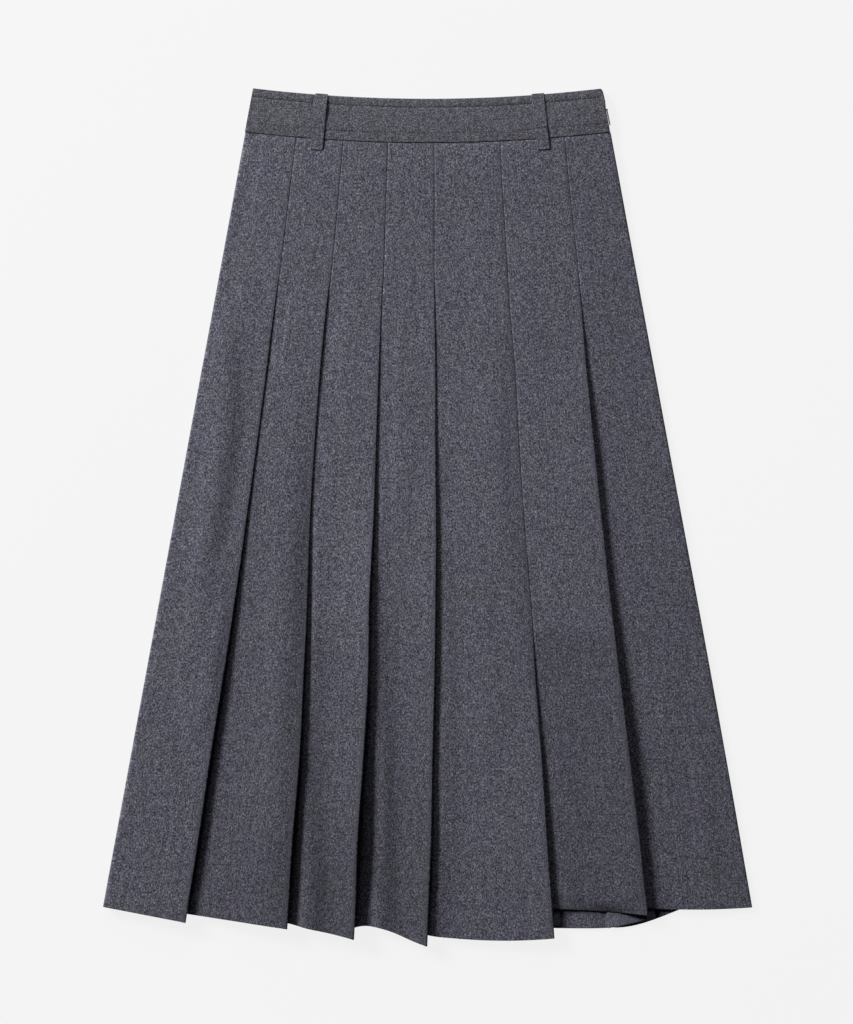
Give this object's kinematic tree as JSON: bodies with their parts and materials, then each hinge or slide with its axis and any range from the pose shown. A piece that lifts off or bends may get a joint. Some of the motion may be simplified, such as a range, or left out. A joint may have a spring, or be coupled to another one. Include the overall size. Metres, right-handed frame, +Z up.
{
  "type": "pleated midi skirt",
  "caption": "Grey wool flannel midi skirt with knife pleats, a shaped waistband, belt loops and a concealed side zip, laid flat.",
  "frame": {"origin": "on the surface that the skirt lies on, under the middle of its outline", "axes": "+Y along the skirt from hem to waist, +X to the viewer's right, +Z up from the surface, out of the front"},
  "size_m": [0.6468, 0.854, 0.0192],
  "materials": {
    "flannel": "matt brushed wool flannel, grey marl",
    "zip_tape": "dark woven tape",
    "zip_metal": "dark satin metal"
  },
  "bodies": {
    "skirt": {"front_skirt": "flannel", "back_skirt": "flannel", "waistband_front": "flannel", "waistband_back": "flannel", "belt_loop_front_left": "flannel", "belt_loop_front_right": "flannel", "belt_loop_back_left": "flannel", "belt_loop_back_right": "flannel", "side_zip": "zip_tape", "zip_slider": "zip_metal"},
    "zip_pull": {"zip_pull": "zip_metal"}
  },
  "joints": [
    {"name": "zip_pull_hinge", "type": "hinge", "parent": "skirt", "child": "zip_pull", "pos_m": [0.17889, 0.40786, 0.0054], "axis": [0, 0, 1], "range_deg": [0, 170]}
  ]
}
